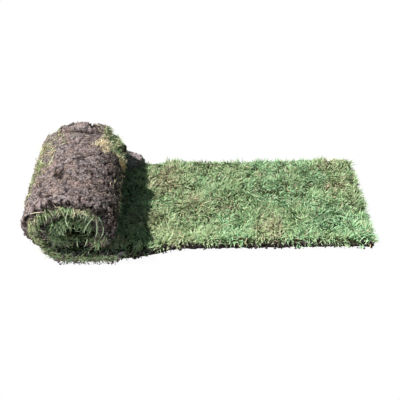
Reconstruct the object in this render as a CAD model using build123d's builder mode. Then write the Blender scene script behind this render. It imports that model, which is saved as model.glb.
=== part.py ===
from build123d import *
import math
import os

# A strip of cut turf, partly unrolled: a flat run of grass with the rest still rolled up on its end.
# The strip is one mat: soil bound by roots is the layer that carries it, and the grass stands on that layer.
# It was rolled with the grass inside: the soil faces outwards and each turn rests on the grass of the next.

# The strip. Sizes are in millimetres: X runs along it, Y across it and Z is up.
turf_width = 406.0
turf_length = 2057.0  # unrolled, measured along the middle of the soil
soil_thickness = 22.0
grass_height = 28.0  # as the grass stands on the flat run

# The roll has sagged under its own weight: every turn is flat below, broad above and tight at its flanks.
roll_width = 285.0
roll_height = 252.0
turns = 1.82
pressed_grass = 26.0  # how much is left of the grass's height between two turns
crown_angle = 90.0  # how much of each turn the broad arc above takes
floor_contact = 32.0  # how far the strip still lies on the floor past the origin
eye_width = 66.0  # the hollow that the grass leaves in the middle of the roll
eye_height = 34.0

# The strip from above: it was rolled a little off its line, so the roll stands nearer than the flat run.
roll_creep = 40.0
creep_start = 115.0  # where the edge begins to swing back, just clear of the roll
creep_run = 240.0  # over what length it swings back
corner_radius = 14.0  # worn corners of the cut end
sward_edge_radius = 12.0  # how the grass rounds over at the cut end

# Soil comes up in clods on the roll's outside, between where it leaves the floor and where it nears the grass.
clod_radius = 55.0
clod_height = 6.0  # how far the highest stand out
clod_root = 8.5  # how deep they are bedded
clod_spacing = 64.0
clod_stray = 18.0  # how far they stray from their rows
clods_from_floor = 90.0
clods_from_grass = 170.0

# The sward isn't level: tussocks and hollows follow each other on the flat run.
swell_depth = 7.0
swell_spacing = 80.0
swells_start = 70.0  # clear of where the roll rests on the grass
swell_lead = 2.0  # how far above the sward the swells' surface begins there

cut_margin = 20.0  # how far the cutting shapes stand clear of the turf

# The outer turn is one arc up its flank, one over the crown, one down to the grass and then a flat.
# Their radii, at the underside, give the roll its size and end the turn one spacing above where it began.
turn_spacing = soil_thickness + pressed_grass
flank_angle = 180 - crown_angle / 2
rise = 1 + math.cos(math.radians(crown_angle / 2))
reach = math.sin(math.radians(crown_angle / 2))
turn_heights = 2 * roll_height - turn_spacing  # of the climb to the crown and the fall from it, added up
crown_radius = (roll_width * rise - turn_heights * (1 - reach)) / (4 * reach + 2 * rise - 4)
up_radius = (roll_height - crown_radius * (2 - rise)) / rise
down_radius = up_radius - turn_spacing / rise
flat_below = reach * (2 * crown_radius - up_radius - down_radius)
outer_arcs = ((flank_angle, up_radius), (crown_angle, crown_radius), (flank_angle, down_radius))


def winding(until):
    """The angle and underside radius of each arc: every turn lies one spacing inside the last."""
    left = 360 * until
    count = 0
    while left > 0:
        angle, radius = outer_arcs[count % len(outer_arcs)]
        yield min(angle, left), radius - turn_spacing * (count // len(outer_arcs))
        left -= angle
        count += 1


def wind(depth, until):
    """Draws the line at one depth in the mat, from where the strip leaves the floor. Returns its last arc."""
    start, heading = Vector(-floor_contact, depth), Vector(-1, 0)
    for count, (angle, radius) in enumerate(winding(until)):
        if count and count % len(outer_arcs) == 0:
            start = Line(start, start + heading * flat_below) @ 1
        arc = JernArc(start, heading, radius - depth, -angle)
        start, heading = arc @ 1, arc % 1
    return arc


# What isn't wound up lies flat.
middle = soil_thickness / 2
arc_lengths = [math.radians(angle) * (radius - middle) for angle, radius in winding(turns)]
flats = (len(arc_lengths) - 1) // len(outer_arcs)
flat_end = turf_length - sum(arc_lengths) - flats * flat_below - floor_contact

# Soil and roots in section, from the cut end along the floor and round the winding
with BuildSketch(Plane.XZ) as soil_section:
    with BuildLine():
        Line((flat_end, 0), (-floor_contact, 0))
        last_under = wind(0, turns)
        Line((flat_end, soil_thickness), (-floor_contact, soil_thickness))
        last_top = wind(soil_thickness, turns)
        Line(last_under @ 1, last_top @ 1)
        Line((flat_end, 0), (flat_end, soil_thickness))
    make_face()

# The grass in section: it stands on the flat run, and fills every gap of the winding down to the eye.
sward_top = soil_thickness + grass_height
eye_centre = (flat_below / 2 - floor_contact, roll_height / 2)
with BuildSketch(Plane.XZ) as run_section:
    with BuildLine():
        Polyline(
            (-floor_contact, middle),
            (flat_end, middle),
            (flat_end, sward_top),
            (-floor_contact, sward_top),
            close=True,
        )
    make_face()
    end_corner = run_section.vertices().sort_by(Axis.X)[-2:].sort_by(Axis.Y)[-1]
    fillet(end_corner, radius=min(sward_edge_radius, grass_height / 2))
    add(soil_section.sketch_local, mode=Mode.SUBTRACT)
with BuildSketch(Plane.XZ) as wound_section:
    with BuildLine():
        last_shell = wind(middle, 1)
        Line(last_shell @ 1, (-floor_contact, middle))
    make_face()
    add(soil_section.sketch_local, mode=Mode.SUBTRACT)
    with Locations(eye_centre):
        Ellipse(eye_width / 2, eye_height / 2, mode=Mode.SUBTRACT)

# The strip from above, with both long edges swinging over to the roll
creep_end = creep_start + creep_run
near_edge = -turf_width / 2
past_roll = -2 * roll_width
with BuildSketch(Plane.XY.offset(-cut_margin)) as strip_plan:
    with BuildLine():
        for edge in (near_edge, near_edge + turf_width):
            Line((flat_end, edge), (creep_end, edge))
            Bezier(
                (creep_end, edge),
                (creep_start + creep_run / 2, edge),
                (creep_start + creep_run / 2, edge - roll_creep),
                (creep_start, edge - roll_creep),
            )
            Line((creep_start, edge - roll_creep), (past_roll, edge - roll_creep))
        Line((flat_end, near_edge), (flat_end, near_edge + turf_width))
        Line((past_roll, near_edge - roll_creep), (past_roll, near_edge + turf_width - roll_creep))
    make_face()
    fillet(strip_plan.vertices().group_by(Axis.X)[-1], radius=corner_radius)

plan_height = roll_height + 2 * cut_margin
section_reach = turf_width / 2 + roll_creep + cut_margin


def uneven(count):
    """A share between 0 and 1 that changes from each count to the next without an order."""
    return (1 + math.cos(2.4 * count)) / 2


def clod_places(underside):
    """A plane for each clod, square to the roll's outside. Every other row is set over by half a spacing."""
    rows = int((underside.length - clods_from_floor - clods_from_grass) / clod_spacing) + 1
    columns = int(turf_width / clod_spacing)
    for count in range(rows * columns):
        row, column = divmod(count, columns)
        wound = clods_from_floor + row * clod_spacing + clod_stray * (uneven(3 * count) - 0.5)
        across = (column - (columns - 1) / 2 + (row % 2 - 0.5) / 2) * clod_spacing - roll_creep
        across += clod_stray * (uneven(5 * count) - 0.5)
        spot, heading = underside @ (wound / underside.length), underside % (wound / underside.length)
        outwards = Vector(-heading.Y, 0, heading.X)
        stands_out = clod_height * (1 + uneven(count)) / 2
        centre = Vector(spot.X, across, spot.Y) + outwards * (stands_out - clod_radius)
        yield Plane(origin=centre, z_dir=outwards)


def swell_points():
    """Points of the sward's upper surface, in columns from the roll to past the cut end."""
    run = flat_end + cut_margin - swells_start
    columns = max(2, round(run / swell_spacing))
    rows = max(2, round(2 * section_reach / swell_spacing))
    for column in range(columns + 1):
        along = swells_start + run * column / columns
        yield [
            Vector(
                along,
                section_reach * (2 * row / rows - 1),
                sward_top - (swell_depth * uneven(3 * column + 7 * row) if column else -swell_lead),
            )
            for row in range(rows + 1)
        ]


with BuildLine() as underside:
    wind(0, 1)

# One clod: the cap of a ball, which lies on its side
with BuildPart() as clod:
    Sphere(clod_radius, rotation=(90, 0, 0))
    split(bisect_by=Plane.XY.offset(clod_radius - clod_height - clod_root), keep=Keep.TOP)

with BuildPart() as soil_mat:
    extrude(soil_section.sketch, amount=section_reach, both=True)
    with Locations(*clod_places(underside.wire())):
        add(clod.part)
    extrude(strip_plan.sketch, amount=plan_height, mode=Mode.INTERSECT)

with BuildPart() as grass:
    extrude(run_section.sketch, amount=section_reach, both=True)
    swells = Face.make_surface_from_array_of_points(list(swell_points()))
    extrude(swells, amount=grass_height, dir=(0, 0, 1), mode=Mode.SUBTRACT)
    extrude(wound_section.sketch, amount=section_reach, both=True)
    extrude(strip_plan.sketch, amount=plan_height, mode=Mode.INTERSECT)

os.makedirs("parts", exist_ok=True)
soil_mat.part.label = "soil_mat"
export_step(soil_mat.part, "parts/soil_mat.step")
grass.part.label = "grass"
export_step(grass.part, "parts/grass.step")
print(f"flat run to {flat_end:.1f} mm, roll from {-floor_contact - up_radius:.1f} mm")
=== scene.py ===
"""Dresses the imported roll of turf: crumbly soil, the thatch under the grass, and blades, roots and crumbs.

Every piece is worked out in the mat's own coordinates: along is the distance along its underside from the cut
end, across is the distance from its middle line, negative towards the near edge, and height is measured from
its underside towards the grass. Mat.place carries such points into the roll's winding.

Sizes are in metres. Places round the roll are given in degrees, by how far the mat has turned: 0 where it
leaves the floor, 90 on the left flank, 180 on the crown, 270 on the right flank, and from 360 the inner turn.
"""

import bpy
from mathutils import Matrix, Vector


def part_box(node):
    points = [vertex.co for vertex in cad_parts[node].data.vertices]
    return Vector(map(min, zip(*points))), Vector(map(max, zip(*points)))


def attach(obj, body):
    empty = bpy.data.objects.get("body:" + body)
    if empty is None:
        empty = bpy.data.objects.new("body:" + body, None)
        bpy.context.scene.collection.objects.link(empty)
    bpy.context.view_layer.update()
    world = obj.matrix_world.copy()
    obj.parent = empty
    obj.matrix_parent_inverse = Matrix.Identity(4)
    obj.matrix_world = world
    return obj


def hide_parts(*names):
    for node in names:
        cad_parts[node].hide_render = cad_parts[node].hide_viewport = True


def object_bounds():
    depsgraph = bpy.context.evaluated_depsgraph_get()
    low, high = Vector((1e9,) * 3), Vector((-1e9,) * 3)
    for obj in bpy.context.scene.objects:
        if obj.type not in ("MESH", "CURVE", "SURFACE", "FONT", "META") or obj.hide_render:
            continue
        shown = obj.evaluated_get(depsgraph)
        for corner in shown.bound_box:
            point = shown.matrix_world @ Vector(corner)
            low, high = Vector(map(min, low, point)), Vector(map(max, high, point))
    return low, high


bl_info = {
    "name": "Roll of Turf",
    "version": (1, 0, 0),
    "blender": (4, 5, 0),
    "location": "3D View > Sidebar > Turf",
    "description": "Makes a partly unrolled strip of cut turf around its packed model",
    "category": "Object",
}

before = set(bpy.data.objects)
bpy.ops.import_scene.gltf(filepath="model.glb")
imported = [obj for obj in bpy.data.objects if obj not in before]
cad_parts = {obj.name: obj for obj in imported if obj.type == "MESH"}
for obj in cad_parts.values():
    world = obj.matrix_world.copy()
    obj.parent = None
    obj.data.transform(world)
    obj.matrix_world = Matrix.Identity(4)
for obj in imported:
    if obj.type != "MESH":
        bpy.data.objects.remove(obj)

import math

import bmesh
import bpy
import numpy as np
from bpy.props import FloatProperty, FloatVectorProperty, IntProperty, PointerProperty

CAD_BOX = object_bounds()
BODY = "root"
TAU = 2 * math.pi
DOWN = np.array([0.0, 0.0, -1.0])

# How high each uneven form of the roll's flanks sits, and how far up and down it fades out
HEEL = (0.055, 0.04)
LEFT_SHOULDER = (0.170, 0.04)
RIGHT_SHOULDER = (0.225, 0.035)
TUCK = (0.10, 0.06)

# Where round the roll its far end spreads to the right and out of the end, and how fast it fades, in degrees
FLARE_RIGHT = (334, 27)
FLARE_OUT = (315, 40)

# How fast the sward's dips follow each other along and across the strip, in radians a metre, and their start
SWELL_ALONG, SWELL_ACROSS, SWELL_PHASE = 11.43, 27.3, 0.89

SOIL_CORNER = 0.007  # the radius of the soil's edges
THATCH_CORNER = 0.004
THATCH_INSET = 0.006  # how far before each end of the strip the thatch stops
CORNER_POINTS = 5  # on each quarter circle
CLOSING = np.array([0.8, 0.5, 0.2])  # how much of its height each of the last rings of soil keeps
JOINT = 0.04  # how far before the floor contact's end the flat pieces meet the rolled ones
BEDDED = 0.003  # how deep thatch and blades are set into the soil
FOOT = 0.16  # how much of the flat run is taken for the roll's foot
FLOOR_GAP = 0.0003
CRUMB_GAP = 0.0002
INNER_RELIEF = 0.4  # how much of the soil's relief there is on its grassy side
LEVEL_SHADE = 0.54  # how pale level soil is, from 0 to 1
SHADE_RANGE = 0.0056  # how much fine relief takes the soil from dark to pale
KEEL = 0.35  # how deep a blade's keel is, as a share of its width
DRY = (0.03, 0.19)  # the tints of dead blades
MIX_INPUTS = (0, 6, 7)  # where a blend of colours takes its factor and its two colours


def length(name, description, default):
    """A size in metres that a user can set."""
    return FloatProperty(
        name=name, description=description, default=default, min=0, unit="LENGTH", precision=4
    )


def angle(name, description, degrees):
    """An angle that a user can set, given in degrees."""
    return FloatProperty(name=name, description=description, default=math.radians(degrees), subtype="ANGLE")


def count(name, description, default):
    """How many of something there are."""
    return IntProperty(name=name, description=description, default=default, min=0)


def colour(name, description, red, green, blue):
    """A colour that a user can set."""
    return FloatVectorProperty(
        name=name, description=description, default=(red, green, blue), size=3, min=0, max=1, subtype="COLOR"
    )


class TurfSizes(bpy.types.PropertyGroup):
    soil_thickness: length("Soil Thickness", "How thick the layer of soil and roots is", 0.022)
    pressed_grass: length("Pressed Grass", "How much height the grass keeps between two turns", 0.026)
    grass_height: length("Grass Height", "How high the grass stands on the flat run", 0.028)
    roll_width: length("Roll Width", "The roll's width from flank to flank", 0.285)
    roll_height: length("Roll Height", "The roll's height without its clods", 0.252)
    turns: FloatProperty(name="Turns", description="How many turns are wound", default=1.82, min=1)
    crown_angle: angle("Crown Angle", "How much of each turn the broad arc above takes", 90)
    floor_contact: length("Floor Contact", "How far the strip still lies on the floor past the origin", 0.032)
    creep_start: length("Creep Start", "Where the long edges begin to swing over", 0.115)
    creep_run: length("Creep Run", "Over what length the long edges swing over", 0.24)
    skew: FloatProperty(
        name="Skew", description="How far the roll is turned off the strip's line", default=0.025
    )
    heel_sag: length("Heel Sag", "How far the roll's lower left flank is drawn in", 0.018)
    shoulder_bulge: length("Shoulder Bulge", "How far its upper left flank stands out", 0.010)
    front_shoulder: length("Front Shoulder", "How far its upper right flank stands out", 0.008)
    far_sink: length("Far Sink", "How far the far end of the roll has sunk", 0.017)
    right_tuck: length("Right Tuck", "How far the lower right flank is drawn in at the near end", 0.014)
    far_flare: length("Far Flare", "How far the lower right flank spreads at the far end", 0.045)
    recess: length("Recess", "How far the inner turn lies back from the ends", 0.014)
    big_clod: length("Big Clod", "The radius of the big clods' caps", 0.055)
    big_clod_height: length("Big Clod Height", "How far the big clods stand out", 0.006)
    big_clod_spacing: length("Big Clod Spacing", "How far apart the big clods are", 0.064)
    big_clod_stray: length("Big Clod Stray", "How far the big clods stray from their rows", 0.018)
    big_clods_start: length("Big Clods Start", "How far round the outside they begin", 0.09)
    big_clods_stop: length("Big Clods Stop", "How far before the outer turn's end they stop", 0.17)
    swell_depth: length("Swell Depth", "How far the sward dips between its tussocks", 0.007)
    swells_start: length("Swells Start", "Where the dips begin beside the roll", 0.07)
    thatch_depth: length("Thatch Depth", "How far the thatch lies below the tops of the grass", 0.015)
    blade_length: length("Blade Length", "The usual length of a blade of grass", 0.034)
    blade_width: length("Blade Width", "The usual width of a blade of grass", 0.0037)


class TurfRelief(bpy.types.PropertyGroup):
    clod: length("Clod Size", "How wide the soil's clods are", 0.0082)
    clod_height: length("Clod Height", "How far the clods stand up", 0.0036)
    crumb_height: length("Crumb Height", "How far the crumbs on the clods stand up", 0.0014)
    grain_height: length("Grain Height", "How rough the soil is between crumbs", 0.0025)
    boulder_height: length("Boulder Height", "How far the largest lumps stand up", 0.009)
    broad_height: length("Broad Height", "How far the surface rises and falls from place to place", 0.004)
    pit_depth: length("Pit Depth", "How deep the small pits are", 0.0044)
    crease_depth: length("Crease Depth", "How deep the winding creases are", 0.0064)
    lip_height: length("Lip Height", "How far the crown's edge at the far end is raised", 0.007)
    lip_inset: length("Lip Inset", "How far from the far end the raised part begins", 0.048)
    lip_crack: length("Lip Crack", "How deep the crack before the raised part is", 0.010)
    slanting_crack: length("Slanting Crack", "How deep the crack across the crown is", 0.007)
    torn_depth: length("Torn Depth", "How much soil is torn off the right shoulder", 0.010)
    raggedness: length("Raggedness", "How far the cut edges wander in and out", 0.013)
    bite_depth: length("Bite Depth", "How deep the bites out of the cut edges are", 0.010)
    thatch_roughness: length("Thatch Roughness", "How far the thatch rises and falls", 0.007)


class TurfCounts(bpy.types.PropertyGroup):
    blades: count("Blades", "Blades on each of the four stretches of the flat run", 10900)
    end_blades: count("End Blades", "Blades at the near end of the roll", 6400)
    hanging_blades: count("Hanging Blades", "Thin blades that hang at the near end", 150)
    foot_blades: count("Foot Blades", "Blades below the near end, before they are thinned to clumps", 900)
    roots: count("Roots", "Roots and straws on the outside of the roll", 240)
    crumbs: count("Crumbs", "Loose crumbs of soil", 900)


class TurfColours(bpy.types.PropertyGroup):
    # The soil ramps from Dark Soil to Pale Soil by its relief: the dark end is painted shade in pits, cracks
    # and shaded places, and the pale end is partly dust and partly painted highlight on the clods' tops
    soil: colour("Soil", "The soil where it is dry and lies open", 0.325, 0.258, 0.248)
    soil_pale: colour("Pale Soil", "The dusty tops of the clods", 0.62, 0.52, 0.50)
    soil_dark: colour("Dark Soil", "The soil in cracks and pits", 0.040, 0.030, 0.026)
    # Thatch: dead stems, darkened as painted shade between the blades
    thatch: colour("Thatch", "Dead stems between the blades", 0.075, 0.078, 0.036)
    dead_stem: colour("Dead Stem", "The palest stems of the thatch", 0.17, 0.16, 0.08)
    straw: colour("Straw", "A dead blade", 0.90, 0.76, 0.52)
    tan: colour("Tan", "A dead blade that has darkened", 0.70, 0.52, 0.30)
    scorched: colour("Scorched", "A dead blade that has turned orange", 0.80, 0.34, 0.10)
    withered: colour("Withered", "A blade between dead and drying", 0.40, 0.33, 0.15)
    olive: colour("Olive", "A blade that is drying", 0.68, 0.72, 0.40)
    green: colour("Green", "A fresh blade", 0.52, 0.79, 0.37)
    blue_green: colour("Blue Green", "A fresh blade of the darker kind", 0.43, 0.82, 0.46)
    straw_tip: colour("Straw Tip", "The sunlit tip of a dead blade", 1.0, 0.90, 0.68)
    scorched_tip: colour("Scorched Tip", "The sunlit tip of an orange blade", 0.9, 0.5, 0.25)
    fresh_tip: colour("Fresh Tip", "The sunlit tip of a fresh blade", 0.9, 0.97, 0.72)


def sizes():
    """The sizes that a user can set."""
    return bpy.context.scene.turf_sizes


def smooth(value):
    """Rises from 0 to 1 as the value does, level at both ends."""
    value = np.clip(value, 0, 1)
    return value * value * (3 - 2 * value)


def bump(value, centre, width):
    """A bell with its top at the centre."""
    return np.exp(-(((value - centre) / width) ** 2))


def uneven(number):
    """A share between 0 and 1 that changes from each count to the next without an order."""
    return (1 + np.cos(2.4 * number)) / 2


def hashed(corner, seed):
    """A number from 0 to 1 that looks random but always belongs to the same three whole numbers: they are
    multiplied by large odd numbers, laid over each other, and their bits are then stirred twice."""
    mixed = corner[..., 0] * 73856093 ^ corner[..., 1] * 19349663 ^ corner[..., 2] * 83492791
    mixed = (mixed ^ (seed * 40503 + 977)) & 0xFFFFFFFF
    mixed = ((mixed ^ (mixed >> 15)) * 0x2C1B3C6D) & 0xFFFFFFFF
    mixed = ((mixed ^ (mixed >> 12)) * 0x297A2D39) & 0xFFFFFFFF
    return (mixed ^ (mixed >> 15)) / 0xFFFFFFFF


def noise(points, size, seed):
    """Smooth noise from 0 to 1: the hashed values of the eight corners of a lattice of that size, blended."""
    scaled = points / size
    corner = np.floor(scaled).astype(np.int64)
    blend = smooth(scaled - corner)
    total = 0
    for step in np.ndindex(2, 2, 2):
        weight = np.prod(np.where(step, blend, 1 - blend), axis=-1)
        total = total + weight * hashed(corner + np.array(step), seed)
    return total


def noise_along(along, size, seed):
    """Smooth noise from 0 to 1 that changes along the mat only."""
    return noise(along[:, None] * (1, 0, 0), size, seed)


def fractal(points, size, octaves, seed):
    """Noise added up over octaves, each half as large and half as strong as the one before."""
    total = sum(noise(points, size / 2**octave, seed + octave) / 2**octave for octave in range(octaves))
    return total / (2 - 2 ** (1 - octaves))


def cells(points, size, seed):
    """The distance to the nearest of a lattice's jittered points, as a share of its size, and a number from
    0 to 1 that belongs to that point."""
    scaled = points / size
    corner = np.floor(scaled).astype(np.int64)
    nearest = np.full(len(points), 9.0)
    number = np.zeros(len(points))
    for step in np.ndindex(3, 3, 3):
        cell = corner + np.array(step) - 1
        jitter = np.stack([hashed(cell, seed + axis) for axis in range(3)], -1)
        away = np.linalg.norm(cell + jitter - scaled, axis=-1)
        closer = away < nearest
        nearest = np.where(closer, away, nearest)
        number = np.where(closer, hashed(cell, seed + 7), number)
    return nearest, number


def either(random, share, first, second, number):
    """Random numbers, of which that share lie in the first range and the rest in the second."""
    in_first = random.random(number) < share
    return np.where(in_first, random.uniform(*first, number), random.uniform(*second, number))


def direction(lean, turn):
    """The direction at a lean from the vertical, towards a turn over the ground."""
    return np.stack([np.sin(lean) * np.cos(turn), np.sin(lean) * np.sin(turn), np.cos(lean)], -1)


class Mat:
    """The strip's course. It runs straight from the cut end to the floor contact and then round the winding.
    Each turn is an arc up the left flank, one over the crown, one down the right flank and a short flat."""

    def __init__(self):
        size = sizes()
        low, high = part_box("soil_mat")
        self.half = high.y
        self.creep = -low.y - high.y
        self.flat_end = high.x
        self.soil = size.soil_thickness
        self.pitch = size.soil_thickness + size.pressed_grass
        crown = size.crown_angle
        rise = 1 + math.cos(crown / 2)
        reach = math.sin(crown / 2)
        climbs = 2 * size.roll_height - self.pitch
        crown_radius = (size.roll_width * rise - climbs * (1 - reach)) / (4 * reach + 2 * rise - 4)
        up_radius = (size.roll_height - crown_radius * (2 - rise)) / rise
        self.down_radius = up_radius - self.pitch / rise
        flat_below = reach * (2 * crown_radius - up_radius - self.down_radius)
        flank = math.pi - crown / 2
        arcs = ((flank, up_radius), (crown, crown_radius), (flank, self.down_radius))
        runs = [(self.flat_end + size.floor_contact, 0.0)]
        left, number = TAU * size.turns, 0
        while left > 0:
            turned, radius = arcs[number % 3]
            if number and number % 3 == 0:
                runs.append((flat_below, 0.0))
            turned = min(turned, left)
            runs.append((turned * (radius - self.pitch * (number // 3)), turned))
            left -= turned
            number += 1
        ends = np.cumsum([0.0] + [run for run, _ in runs])
        turned = np.cumsum([0.0] + [turn for _, turn in runs])
        self.roll_start, self.length = ends[1], ends[-1]
        self.rest_x = flat_below - size.floor_contact
        self.along = np.linspace(0, self.length, 4001)
        self.turned = np.interp(self.along, ends, turned)
        step = self.along[1]
        middle = (self.turned[1:] + self.turned[:-1]) / 2
        self.x = self.flat_end - np.concatenate([[0], np.cumsum(np.cos(middle))]) * step
        self.z = np.concatenate([[0], np.cumsum(np.sin(middle))]) * step
        self.big_clods = self.find_big_clods(sum(turned * radius for turned, radius in arcs))

    def find_big_clods(self, around):
        """For each big clod of the outer turn: how far along and across it lies, and how far it stands out.
        They lie in rows, every other one set over by half a spacing, and stray from them."""
        size = sizes()
        rows = int((around - size.big_clods_start - size.big_clods_stop) / size.big_clod_spacing) + 1
        columns = int(2 * self.half / size.big_clod_spacing)
        number = np.arange(rows * columns)
        row, column = np.divmod(number, columns)
        along = size.big_clods_start + row * size.big_clod_spacing
        along = self.roll_start + along + size.big_clod_stray * (uneven(3 * number) - 0.5)
        across = (column - (columns - 1) / 2 + (row % 2 - 0.5) / 2) * size.big_clod_spacing
        across = across + size.big_clod_stray * (uneven(5 * number) - 0.5)
        return np.stack([along, across, size.big_clod_height * (1 + uneven(number)) / 2], -1)

    def clodded(self, along, across):
        """How far the big clods stand out at each place: caps of balls, which a turn's own curve flattens."""
        size = sizes()
        out = np.zeros(len(along))
        for clod_along, clod_across, height in self.big_clods:
            around = (along - clod_along) ** 2 * (1 / size.big_clod - 2 / size.roll_height) / 2
            aside = (across - clod_across) ** 2 / size.big_clod / 2
            out = np.maximum(out, height - around - aside)
        return out

    def swell(self, x, y):
        """How far the sward dips at a place on the flat run, in slanting waves that begin by the roll."""
        size = sizes()
        past_start = x - size.swells_start
        wave = (1 + np.cos(SWELL_ALONG * past_start - SWELL_ACROSS * y - SWELL_PHASE)) / 2
        return size.swell_depth * wave * smooth(past_start / 0.08)

    def at_turn(self, degrees):
        """How far along the underside the mat has turned by this angle, for one angle or for many."""
        return np.interp(np.radians(degrees), self.turned, self.along)

    def turn_of(self, along):
        """How far the mat has turned at a place, in radians."""
        return np.interp(along, self.along, self.turned)

    def thatch_top(self, along, across):
        """How high the thatch reaches on the flat run: it dips with the sward and thins out to the edges."""
        size = sizes()
        top = self.soil + size.grass_height - size.thatch_depth - self.swell(self.flat_end - along, across)
        edge = np.minimum(along, self.half - np.abs(across))
        return top - 0.010 * smooth(1 - edge / 0.02)

    def swing(self, x, across):
        """How far over the strip lies, by a curve with both its handles halfway along the swing. The near
        edge swings out on the flat run, and the far one hidden behind the roll."""
        size = sizes()
        share = np.linspace(0, 1, 101)
        run = 1.5 * share * (1 - share) + share**3
        rise = 3 * share**2 - 2 * share**3
        near = np.interp((x - size.creep_start) / size.creep_run, run, rise)
        far = np.interp(x / size.creep_start, run, rise)
        return self.creep * (near + (far - near) * smooth(0.5 + across / self.half / 2) - 1)

    def place(self, along, across, height):
        """The point in space. The roll's left flank is drawn in at the heel and bulges at the shoulder, its
        far end has sunk and spreads at the lower right, and the whole roll is turned a little off the
        strip's line."""
        size = sizes()
        turned = self.turn_of(along)
        degrees = np.degrees(turned)
        wound = smooth(turned / 0.6)
        x = np.interp(along, self.along, self.x) + np.sin(turned) * height
        z = np.interp(along, self.along, self.z) + np.cos(turned) * height
        by_ends = smooth((np.abs(across) - self.half + 0.09) / 0.09)
        across = across - np.sign(across) * self.recess(degrees) * by_ends
        y = across + self.swing(x, across) * (1 - wound) - self.creep * wound
        lean = size.heel_sag * bump(z, *HEEL) - size.shoulder_bulge * bump(z, *LEFT_SHOULDER)
        lean = lean * np.clip(-x / 0.15, 0, 1.2)
        front = size.front_shoulder * bump(z, *RIGHT_SHOULDER) * smooth(x / 0.10) * wound
        tuck = size.right_tuck * bump(z, *TUCK) * smooth(x / 0.08) * wound * smooth((0.10 - across) / 0.25)
        spread = size.far_flare * smooth((across - 0.08) / 0.12) * (turned < TAU)
        skew = size.skew * (1 - smooth((x - 0.10) / 0.25)) * (across + self.half)
        x = x + lean + front - tuck - skew + spread * bump(degrees, *FLARE_RIGHT)
        z = z + 0.4 * front - size.far_sink * smooth((across + 0.05) / 0.25) * smooth((z - 0.10) / 0.12)
        return np.stack([x, y + 0.65 * spread * bump(degrees, *FLARE_OUT), z], -1)

    def recess(self, degrees):
        """How far the inner turn's edges lie back. They come forward where they show, on its left flank."""
        return sizes().recess * smooth((degrees - 300) / 70) * (1 - 0.85 * bump(degrees, 450, 38))

    def inward(self, along):
        """The direction from the underside to the grass."""
        turned = self.turn_of(along)
        return np.stack([np.sin(turned), np.zeros_like(turned), np.cos(turned)], -1)

    def forward(self, along):
        """The direction in which the strip runs on, from the cut end into the roll."""
        turned = self.turn_of(along)
        return np.stack([-np.cos(turned), np.zeros_like(turned), np.sin(turned)], -1)


def new_piece(name, vertices, quads, triangles, material, smooth_faces=True):
    """A mesh piece from whole arrays, which rides on the part's body. Its object stays at the origin."""
    mesh = bpy.data.meshes.new(name)
    quads = np.asarray(quads, np.int32).reshape(-1, 4)
    triangles = np.asarray(triangles, np.int32).reshape(-1, 3)
    corners = np.concatenate([quads.ravel(), triangles.ravel()])
    totals = np.concatenate([np.full(len(quads), 4), np.full(len(triangles), 3)]).astype(np.int32)
    mesh.vertices.add(len(vertices))
    mesh.vertices.foreach_set("co", np.asarray(vertices, np.float32).ravel())
    mesh.loops.add(len(corners))
    mesh.loops.foreach_set("vertex_index", corners)
    mesh.polygons.add(len(totals))
    mesh.polygons.foreach_set("loop_start", (np.cumsum(totals) - totals).astype(np.int32))
    mesh.polygons.foreach_set("loop_total", totals)
    mesh.polygons.foreach_set("use_smooth", np.full(len(totals), smooth_faces))
    mesh.update(calc_edges=True)
    mesh.validate()
    mesh.materials.append(material)
    piece = bpy.data.objects.new(name, mesh)
    bpy.context.scene.collection.objects.link(piece)
    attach(piece, BODY)
    return piece


def give_relief_and_painted_light(piece, values):
    """Keeps how far each point stands out, from 0 in a pit to 1 on a clod, for the material. The material
    paints the low values dark as painted shade and the high ones pale as painted highlight, and some pieces
    are darkened further with painted shade while others are lightened with painted light.
    """
    attribute = piece.data.attributes.new("relief", "FLOAT", "POINT")
    attribute.data.foreach_set("value", np.clip(values, 0, 1).astype(np.float32))


def close_holes(piece):
    """Fills the narrow strips left open at the ends and turns all faces outwards."""
    shape = bmesh.new()
    shape.from_mesh(piece.data)
    bmesh.ops.holes_fill(shape, edges=shape.edges, sides=0)
    bmesh.ops.recalc_face_normals(shape, faces=shape.faces)
    shape.to_mesh(piece.data)
    shape.free()


def tube_quads(rings, around):
    """The faces of a tube: each joins two neighbours of a closed ring with those of the next ring."""
    grid = np.arange(rings * around).reshape(rings, around)
    beside = np.roll(grid, -1, axis=1)
    return np.stack([grid[:-1], beside[:-1], beside[1:], grid[1:]], -1).reshape(-1, 4)


def loop_across(half, low, high, corner, under, top):
    """A closed loop round the mat in cross-section: a box whose corners are quarter circles, with so many
    points under it and on top. Gives each point's place across, height and outward direction."""
    flat = half - corner
    below = np.linspace(-flat, flat, under)[1:-1]
    above = np.linspace(flat, -flat, top)[1:-1]
    lower = np.linspace(-math.pi / 2, 0, CORNER_POINTS)
    turn = np.concatenate([lower, lower + math.pi / 2])
    centre = np.repeat([low + corner, high - corner], CORNER_POINTS)
    across, height = flat + corner * np.cos(turn), centre + corner * np.sin(turn)
    out_across, out_up = np.cos(turn), np.sin(turn)
    return (
        np.concatenate([below, across, above, -across[::-1]]),
        np.concatenate([np.full(len(below), low), height, np.full(len(above), high), height[::-1]]),
        np.concatenate([np.zeros(len(below)), out_across, np.zeros(len(above)), -out_across[::-1]]),
        np.concatenate([np.full(len(below), -1.0), out_up, np.full(len(above), 1.0), out_up[::-1]]),
    )


def torn_patch(points, across, turned):
    """1 where soil has torn off the right shoulder's far end, and 0 outside that ragged patch."""
    ragged = 0.022 * (fractal(points, 0.03, 2, seed=57) - 0.5)
    ragged_turn = 400 * ragged
    far_side = smooth((across - 0.070 + ragged) / 0.012)
    return far_side * smooth((turned - 207 + ragged_turn) / 6) * smooth((268 - turned + ragged_turn) / 8)


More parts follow.
